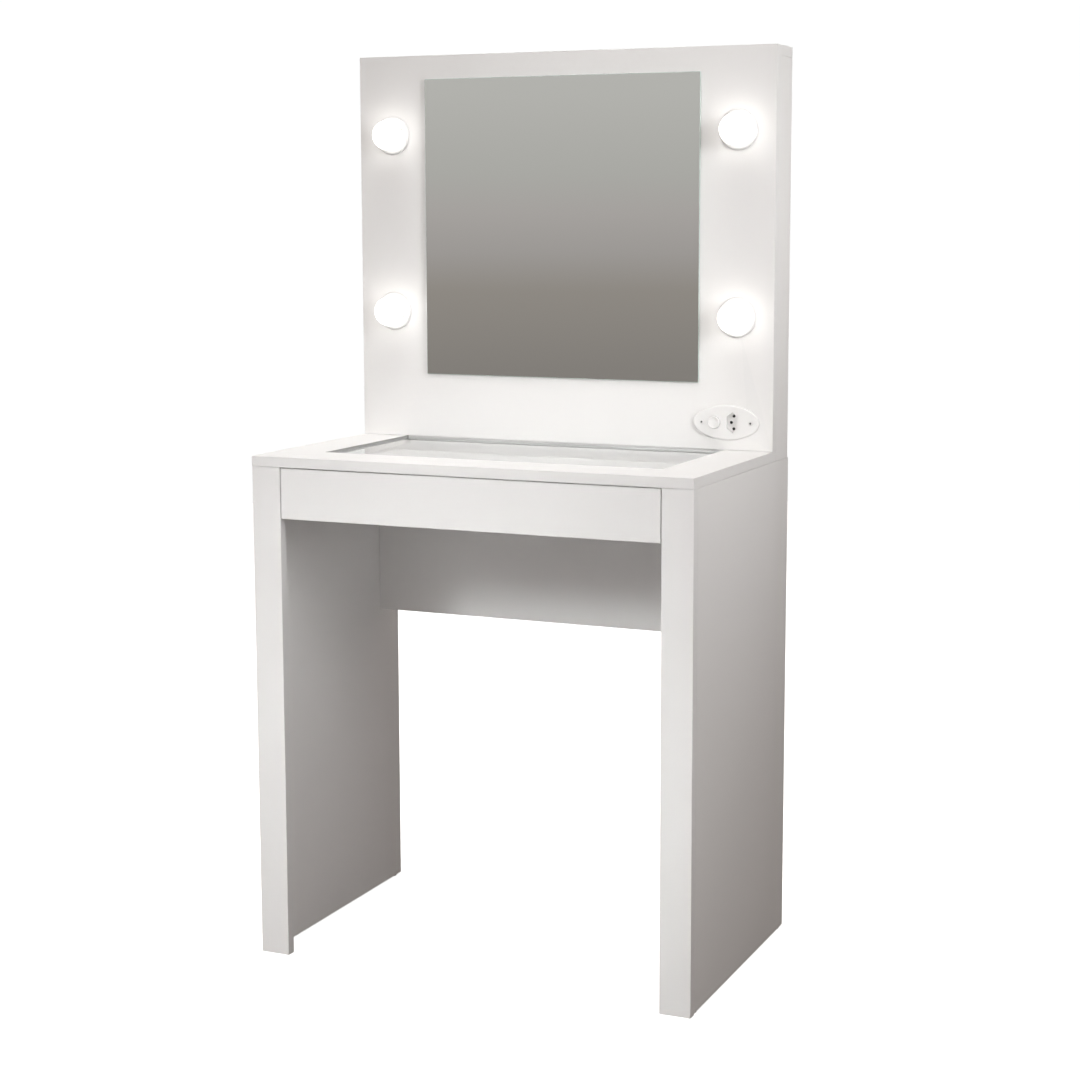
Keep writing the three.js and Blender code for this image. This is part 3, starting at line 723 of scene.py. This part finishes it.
def screw_cap_profile():
    """A lamp cap: the contact, the shoulder, then rolled threads."""
    profile = [(0.0044, -0.0310), (0.0046, -0.0305), (0.0060, -0.0295), (0.0122, -0.0275)]
    for thread in range(THREADS):
        base = THREAD_START + thread * THREAD_PITCH
        profile.append((0.0122, base))
        profile.append((0.0132, base + THREAD_PITCH * 0.35))
        profile.append((0.0132, base + THREAD_PITCH * 0.55))
    return profile + [(0.0122, -0.0054)]


def plated():
    finish, tree, shader = new_finish("nickel_plate")
    scratch = noise(tree, mapped(tree, (1, 1, 9)), 600.0, 3.0).outputs["Fac"]
    link(tree, between(tree, scratch, 0.18, 0.34), shader, "Roughness")
    set_shader(shader, Base_Color=(0.70, 0.69, 0.67), Metallic=1.0)
    return finish


NICKEL = plated()
for name in LAMP_NAMES:
    place = lamp_places[name]
    face_point = (place.x, panel_face, place.z)
    holder = rings(f"holder_{name}", face_point, OUTWARD, HOLDER_PROFILE, 72)
    paint_all(holder, MOULDED)
    ready(holder, "table", f"{name}_lampholder")
    globe = rings(f"globe_{name}", face_point, OUTWARD, globe_profile(), 64)
    paint_all(globe, OPAL)
    ready(globe, "table", f"{name}_bulb_globe", smooth=60)
    cap = rings(f"cap_{name}", face_point, OUTWARD, screw_cap_profile(), 40)
    paint_all(cap, NICKEL)
    ready(cap, "table", f"{name}_bulb_cap", smooth=60)

# ---------------------------------------------------------------- outlet plate and socket
# An oval moulded plate screwed over a cut-out in the panel. It frames a push button and a
# six-sided three-pin socket whose floor is sunk well behind the plate.
PLATE_HALF_WIDTH, PLATE_HALF_HEIGHT = 0.051, 0.026
SOCKET_X, SHOULDER_X, SHOULDER_Z, TIP_Z = 0.010, 0.009, 0.009, 0.0155
SOCKET_FLOOR, OUTLINE_ROUND, RIM = 0.004, 0.0011, 0.0004
PIN_RADIUS, PIN_PLACES = 0.0023, ((0.0, 0.0095), (-0.004, 0.0), (0.0, -0.0095))
BUTTON_X, BUTTON_HOLE = -0.0185, 0.0098
SCREW_X = 0.038
plate_x, plate_z = plate_middle.x, plate_middle.z
plate_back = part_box("outlet_plate")[1].y
PLATE_PLASTIC = plain_finish("plate_plastic", (0.835, 0.83, 0.82), 0.24, 2600, 0.00001)
# Painted shade: near black for the deep walls of the pin bores and the cross recesses of the screws,
# standing in for the shade in these hollows.
HOLLOW_SHADE_BLACK = plain_finish("socket_bore", (0.012, 0.012, 0.012), 0.6, 2600, 0.00001)


def is_along(piece, edge, axis):
    """True for an edge that runs along one axis."""
    a, b = (piece.data.vertices[index].co for index in edge.vertices)
    return abs((b - a)[axis]) > 0.9 * (b - a).length


def six_sided(front, back):
    """A cutter with the socket's outline: a block drawn to a point above and below."""
    low = Vector((plate_x + SOCKET_X - SHOULDER_X, front, plate_z - SHOULDER_Z))
    high = Vector((plate_x + SOCKET_X + SHOULDER_X, back, plate_z + SHOULDER_Z))
    bar = block("cutter", low, high)
    for sign in (-1, 1):
        pick(bar, lambda face: face.normal.z * sign > 0.9)
        rise = (0, 0, sign * (TIP_Z - SHOULDER_Z))
        bpy.ops.mesh.extrude_region_move(TRANSFORM_OT_translate={"value": rise})
        bpy.ops.transform.resize(value=(0.04, 1, 1))
        leave()
    pick(bar, lambda edge: is_along(bar, edge, 1), "EDGE")
    bpy.ops.mesh.bevel(offset=OUTLINE_ROUND, segments=3, affect="EDGES", profile=0.5, clamp_overlap=True)
    leave()
    return bar


def front_rims(piece, depth_place):
    """Eases the rims of the holes that open on one plane across the depth."""
    vertices = piece.data.vertices

    def on_plane(edge):
        return all(abs(vertices[index].co.y - depth_place) < 0.00002 for index in edge.vertices)

    pick(piece, on_plane, "EDGE")
    bpy.ops.mesh.edges_select_sharp(sharpness=math.radians(50))
    leave()
    chosen = {edge.index for edge in piece.data.edges if edge.select and on_plane(edge)}
    pick(piece, lambda edge: edge.index in chosen, "EDGE")
    bpy.ops.mesh.bevel(offset=RIM, segments=2, affect="EDGES", profile=0.5, clamp_overlap=True)
    leave()
    clear_slivers(piece)


deselect()
bpy.ops.mesh.primitive_circle_add(
    vertices=120, radius=PLATE_HALF_WIDTH, fill_type="NGON",
    location=(plate_x, plate_back, plate_z), rotation=(math.pi / 2, 0, 0),
)
plate = current("plate_outlet")
bpy.ops.object.transform_apply(location=True, rotation=True, scale=True)
PLATE_STEPS = [(0.0018, 0.0), (0.0007, 0.0003), (0.0005, 0.0006), (0.0003, 0.0008), (0.0002, 0.0012)]
pick(plate, lambda face: True)
bpy.ops.transform.resize(value=(1, 1, PLATE_HALF_HEIGHT / PLATE_HALF_WIDTH))
for rise, shrink in PLATE_STEPS:
    bpy.ops.mesh.extrude_region_move(TRANSFORM_OT_translate={"value": (0, -rise, 0)})
    ratio = (1 - shrink / PLATE_HALF_WIDTH, 1, 1 - shrink / PLATE_HALF_HEIGHT)
    bpy.ops.transform.resize(value=ratio)
bpy.ops.mesh.select_all(action="SELECT")
bpy.ops.mesh.normals_make_consistent(inside=False)
leave()
plate_front = plate_back - sum(rise for rise, shrink in PLATE_STEPS)
drill(plate, (plate_x + BUTTON_X, plate_back, plate_z), (0, 1, 0), BUTTON_HOLE, 0.02, 64)
subtract(plate, six_sided(plate_back - 0.01, plate_back + 0.01))
for sign in (-1, 1):
    drill(plate, (plate_x + sign * SCREW_X, plate_back, plate_z), (0, 1, 0), 0.0019, 0.02, 24)
    drill(plate, (plate_x + sign * SCREW_X, plate_front, plate_z), (0, 1, 0), 0.0036, 0.0012, 32)
front_rims(plate, plate_front)
paint_all(plate, PLATE_PLASTIC)
ready(plate, "table", "outlet_plate", smooth=35)

socket_low, socket_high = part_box("socket_body")
socket = block("insert_socket", socket_low, socket_high)
ease_edges(socket, 0.0004)
socket_floor = panel_face + SOCKET_FLOOR
subtract(socket, six_sided(panel_face - 0.01, socket_floor))
for dx, dz in PIN_PLACES:
    bore = (plate_x + SOCKET_X + dx, socket_floor, plate_z + dz)
    drill(socket, bore, OUTWARD, PIN_RADIUS, 0.024, 24)
front_rims(socket, socket_floor)


def socket_finish(face):
    """Painted shade: near black on the walls deep inside the pin bores."""
    deep = face.center.y > socket_floor + 0.0012
    offset = Vector((face.center.x - plate_x - SOCKET_X, face.center.z - plate_z))
    near = min((offset - Vector(pin)).length for pin in PIN_PLACES)
    return 1 if deep and near < PIN_RADIUS * 1.05 else 0


paint_faces(socket, (PLATE_PLASTIC, HOLLOW_SHADE_BLACK), socket_finish)
ready(socket, "table", "socket_body", smooth=35)

# ---------------------------------------------------------------- light switch
# A round push button with a raised rim and a dished face, moulded in the plate's plastic. Its stem
# goes through the plate into the switch, against a spring.
BUTTON_PROFILE = [
    (0.0030, 0.0120), (0.0030, 0.0030), (0.0094, 0.0030), (0.0094, -0.0062), (0.0092, -0.0069),
    (0.0087, -0.0075), (0.0081, -0.0078), (0.0074, -0.0076), (0.0068, -0.0071), (0.0061, -0.0067),
    (0.0050, -0.0065), (0.0020, -0.0064),
]
button_face = (plate_x + BUTTON_X, panel_face, plate_z)
button = rings("button_light_switch", button_face, (0, 1, 0), BUTTON_PROFILE, 64)
paint_all(button, PLATE_PLASTIC)
ready(button, "light_switch", "light_switch_button", smooth=40)

# ---------------------------------------------------------------- screws
# Pressed steel screws with a domed head and a cross recess. Those in the plate are lacquered
# white, and those in the runners are zinc plated.
RECESS_REACH, RECESS_WIDTH, RECESS_DEPTH = 0.5, 0.11, 0.7
PLATE_HEAD = (0.0032, 0.0013)
LACQUER = plain_finish("white_lacquer", (0.74, 0.735, 0.725), 0.28, 2200, 0.00001)


def cross_screw(name, place, outward, radius, rise, finish, body, *nodes, shank=0.010, slot="plated_steel"):
    """A domed head with a cross-shaped recess and a plain shank; place is the seat of the head."""
    profile = [
        (radius * 0.42, -shank), (radius * 0.42, 0.0), (radius, 0.0), (radius, rise * 0.35),
        (radius * 0.93, rise * 0.65), (radius * 0.72, rise * 0.88), (radius * 0.35, rise),
        (radius * 0.05, rise * 1.02),
    ]
    screw = rings(name, place, outward, profile, 32)
    outward = Vector(outward)
    top = Vector(place) + outward * rise
    along = outward.orthogonal().normalized()
    across = outward.cross(along)
    for line in (along, across):
        other = outward.cross(line)
        half = line * radius * RECESS_REACH + other * radius * RECESS_WIDTH
        half += outward * rise * RECESS_DEPTH
        reach = Vector((abs(half.x), abs(half.y), abs(half.z)))
        subtract(screw, block("cutter", top - reach, top + reach))
    seat = Vector(place)

    # Painted shade: the faces inside the cross recess take the near-black finish, standing in for the shade
    # in the recess.
    def recessed(face):
        offset = face.center - seat
        height = offset.dot(outward)
        spread = (offset - outward * height).length
        return 1 if rise * 0.1 < height < rise * 0.85 and spread < radius * 0.66 else 0

    paint_faces(screw, (finish, HOLLOW_SHADE_BLACK), recessed)
    ready(screw, body, *nodes, smooth=35)


for side, sign in (("left", -1), ("right", 1)):
    seat = (plate_x + sign * SCREW_X, plate_front + 0.0006, plate_z)
    node = f"plate_screw_{side}"
    cross_screw("head_" + node, seat, OUTWARD, *PLATE_HEAD, LACQUER, "table", node)

# ---------------------------------------------------------------- wiring inside the housing
# Flexible lead in a dark sleeve, a terminal block, the switch's box and the lampholders' nuts.
# They are closed in by the back sheet; the grommet under the shelf is the mains lead's way out.
SLEEVE = plain_finish("pvc_sleeve", (0.022, 0.022, 0.024), 0.42, 1800, 0.00003)
BOX_PLASTIC = plain_finish("box_plastic", (0.62, 0.61, 0.58), 0.45, 2000, 0.00002)


def keep_node(node, finish):
    """Leaves a CAD node as it is, with a finish of its own."""
    for place in bpy.data.objects[node].material_slots:
        place.material = finish


def turned_ring(name, centre, axis, profile, sides):
    """A turned piece with a hole through it, from a closed outline of (radius, height)."""
    piece = first_ring(name, centre, axis, profile[0], sides, "NOTHING")
    pick(piece, lambda edge: True, "EDGE")
    draw_out(axis, [*profile, profile[0]])
    bpy.ops.mesh.remove_doubles(threshold=0.00001)
    bpy.ops.mesh.normals_make_consistent(inside=False)
    leave()
    return piece


keep_node("lamp_wiring", SLEEVE)
keep_node("terminal_block", BOX_PLASTIC)
keep_node("switch_body", BOX_PLASTIC)
NUT_PROFILE = [
    (0.0219, 0.0153), (0.0266, 0.0153), (0.0270, 0.0157),
    (0.0270, 0.0206), (0.0266, 0.0210), (0.0219, 0.0210),
]
for name in LAMP_NAMES:
    place = lamp_places[name]
    nut = turned_ring(f"nut_{name}", (place.x, panel_face, place.z), (0, 1, 0), NUT_PROFILE, 36)
    paint_all(nut, MOULDED)
    ready(nut, "table", f"{name}_holder_nut")

grommet_middle = axis_middle("cable_grommet")
GROMMET_PROFILE = [
    (0.0040, -0.0023), (0.0090, -0.0023), (0.0097, -0.0020), (0.0100, -0.0013), (0.0100, -0.0003),
    (0.0077, -0.0003), (0.0077, 0.0175), (0.0072, 0.0180), (0.0045, 0.0180), (0.0040, 0.0175),
]
grommet_seat = (grommet_middle.x, grommet_middle.y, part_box("housing_bottom")[0].z)
grommet = turned_ring("grommet_cable", grommet_seat, UP, GROMMET_PROFILE, 40)
paint_all(grommet, SLEEVE)
ready(grommet, "table", "cable_grommet")

# ---------------------------------------------------------------- roller runners
# Folded strip, coated cream-white: a C on each batten and a Z under each drawer side. The nylon
# rollers turn on rivets, one at the front of the C and one at the back of the Z.
STEEL, BEND = 0.0012, 0.00035
RUNNER_LIP, RUNNER_NOTCH = 0.003, 0.030
RAIL_TOP, RAIL_PLAY, RAIL_SCREW_LIFT = 0.008, 0.0003, 0.002
SLOT_RADIUS = 0.0024
SCREW_RUN = (0.045, 0.150, 0.255)
CHANNEL_HEAD = (0.0036, 0.0014)
RAIL_HEAD = (0.0034, 0.0012)
COATED = plain_finish("coated_steel", (0.82, 0.815, 0.795), 0.3, 1500, 0.00002)
NYLON = plain_finish("roller_nylon", (0.78, 0.765, 0.72), 0.45, 1600, 0.00003)
ZINC = plated()
ZINC.name = "zinc_plate"
set_shader(ZINC.node_tree.nodes["Principled BSDF"], Base_Color=(0.62, 0.64, 0.66))


def fold(piece, wanted, move):
    """Draws faces out of the strip, as a folded flange."""
    pick(piece, wanted)
    bpy.ops.mesh.extrude_region_move(TRANSFORM_OT_translate={"value": move})
    leave()


def on_flange_end(face, floor_z, edge):
    """True for the upper face of the lower flange's last strip."""
    low_down = face.center.z < floor_z + STEEL * 1.1
    return low_down and face.normal.z > 0.9 and abs(face.center.x - edge) < STEEL


def on_foot(face, sign, floor_z):
    """True for the lowest strip of a web, on its side towards the middle of the table."""
    return face.normal.x * sign < -0.9 and face.center.z < floor_z + STEEL


def past(face, z, y):
    """True for a face above one height and behind one depth."""
    return face.center.z > z and face.center.y > y


def slot_hole(piece, place, length):
    """A slot along the depth for a screw, through a web that faces sideways."""
    x, y, z = place
    for end in (-1, 1):
        drill(piece, (x, y + end * length / 2, z), (1, 0, 0), SLOT_RADIUS, 0.006, 20)
    reach = Vector((0.003, length / 2, SLOT_RADIUS))
    subtract(piece, block("cutter", Vector(place) - reach, Vector(place) + reach))


for side, sign in (("left", -1), ("right", 1)):
    node = f"{side}_cabinet_runner"
    low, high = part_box(node)
    outer = high.x if sign > 0 else low.x
    inner = outer - sign * STEEL
    edge = low.x if sign > 0 else high.x
    start = low.y
    middle_z = (low.z + high.z) / 2
    near, far = (min(inner, outer), start, low.z), (max(inner, outer), high.y, high.z)
    web = block("channel_" + node, near, far)
    saw(web, (0, 0, low.z + STEEL), UP)
    saw(web, (0, 0, high.z - STEEL), UP)
    saw(web, (0, start + RUNNER_NOTCH, 0), (0, 1, 0))
    flange, bend = edge + sign * STEEL - inner, -sign * STEEL
    fold(web, lambda face: on_foot(face, sign, low.z), (flange, 0, 0))
    fold(web, lambda face: on_foot(face, sign, low.z), (bend, 0, 0))
    fold(web, lambda face: on_flange_end(face, low.z, edge), (0, 0, RUNNER_LIP - STEEL))
    top_strip = (high.z - STEEL, start + RUNNER_NOTCH)
    fold(web, lambda face: face.normal.x * sign < -0.9 and past(face, *top_strip), (edge - inner, 0, 0))
    ease_edges(web, BEND)
    for run in SCREW_RUN:
        slot_hole(web, ((inner + outer) / 2, start + run, middle_z), 0.006)
    paint_all(web, COATED)
    ready(web, "table", node)
    for run in SCREW_RUN:
        seat = (inner, start + run, middle_z)
        name = f"screw_{side}_channel_{int(run * 1000)}"
        cross_screw(name, seat, (-sign, 0, 0), *CHANNEL_HEAD, ZINC, "table")

    node = f"{side}_drawer_runner"
    low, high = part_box(node)
    wall_low, wall_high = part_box(f"drawer_side_{side}")
    wall_face = wall_high.x if sign > 0 else wall_low.x
    web_in = wall_face + sign * RAIL_PLAY
    web_out = web_in + sign * STEEL
    under = low.x if sign > 0 else high.x
    over = web_out + sign * RAIL_TOP
    screw_z = (low.z + high.z) / 2 + RAIL_SCREW_LIFT
    near, far = (min(web_in, web_out), low.y, low.z), (max(web_in, web_out), high.y, high.z)
    rail = block("rail_" + node, near, far)
    saw(rail, (0, 0, low.z + STEEL), UP)
    saw(rail, (0, 0, high.z - STEEL), UP)
    fold(rail, lambda face: on_foot(face, sign, low.z), (under - web_in, 0, 0))
    top_z = high.z - STEEL
    fold(rail, lambda face: face.normal.x * sign > 0.9 and face.center.z > top_z, (over - web_out, 0, 0))
    ease_edges(rail, BEND)
    for run in SCREW_RUN:
        slot_hole(rail, ((web_in + web_out) / 2, low.y + run, screw_z), 0.004)
    paint_all(rail, COATED)
    ready(rail, "drawer", node)
    for run in SCREW_RUN:
        seat = (web_out, low.y + run, screw_z)
        name = f"screw_{side}_rail_{int(run * 1000)}"
        cross_screw(name, seat, (sign, 0, 0), *RAIL_HEAD, ZINC, "drawer")

    fixings = (("front", "table", inner, -sign), ("rear", "drawer", web_out, sign))
    for place, body, root, facing in fixings:
        node = f"{side}_{place}_roller"
        wheel_low, wheel_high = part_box(node)
        middle = (wheel_low + wheel_high) / 2
        radius, half = (wheel_high.z - wheel_low.z) / 2, (wheel_high.x - wheel_low.x) / 2
        tyre = [
            (0.0025, -half), (0.0046, -half), (0.0050, -half + 0.0008), (radius - 0.0026, -half + 0.0008),
            (radius - 0.0022, -half), (radius - 0.0006, -half), (radius - 0.0001, -half + 0.0004),
            (radius, 0), (radius - 0.0001, half - 0.0004), (radius - 0.0006, half),
            (radius - 0.0022, half), (radius - 0.0026, half - 0.0008), (0.0050, half - 0.0008),
            (0.0046, half), (0.0025, half),
        ]
        wheel = turned_ring("wheel_" + node, middle, (1, 0, 0), tyre, 56)
        paint_all(wheel, NYLON)
        ready(wheel, node, node)
        stem = abs(middle.x - root) + half + 0.0003
        rivet = [
            (0.0042, -0.0004), (0.0042, 0.0002), (0.0021, 0.0003), (0.0021, stem), (0.0034, stem),
            (0.0036, stem + 0.0002), (0.0034, stem + 0.0006), (0.0022, stem + 0.0008),
        ]
        pin = rings(f"rivet_{side}_{place}", (root, middle.y, middle.z), (facing, 0, 0), rivet, 24)
        paint_all(pin, ZINC)
        ready(pin, body)

# ---------------------------------------------------------------- back sheet nails and cams
# Flat-head nails hold the foot of the back sheet to the shelf. The apron is drawn up to the side
# panels by turned cams, let into its back face.
NAIL_PROFILE = [(0.0010, -0.009), (0.0010, 0.0), (0.0024, 0.0), (0.0025, 0.0003), (0.0023, 0.0006)]
NAILS, FIRST_NAIL, NAIL_SPACING, NAIL_HEIGHT = 7, -0.3, 0.1, 0.7375
for index in range(NAILS):
    seat = (FIRST_NAIL + index * NAIL_SPACING, sheet_high.y, NAIL_HEIGHT)
    nail = rings(f"nail_back_{index + 1}", seat, (0, 1, 0), NAIL_PROFILE, 20)
    paint_all(nail, ZINC)
    ready(nail, "table")

CAM_INSET, CAM_FROM_EDGE, CAM_SHANK = 0.034, 0.05, 0.011
CAM_HEAD = (0.0074, 0.0008)
apron_low, apron_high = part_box("rear_apron")
for side, sign in (("left", -1), ("right", 1)):
    for level, z in (("lower", apron_low.z + CAM_FROM_EDGE), ("upper", apron_high.z - CAM_FROM_EDGE)):
        seat = (sign * (apron_high.x - CAM_INSET), apron_high.y, z)
        cross_screw(f"cam_{level}_{side}", seat, (0, 1, 0), *CAM_HEAD, ZINC, "table", shank=CAM_SHANK)
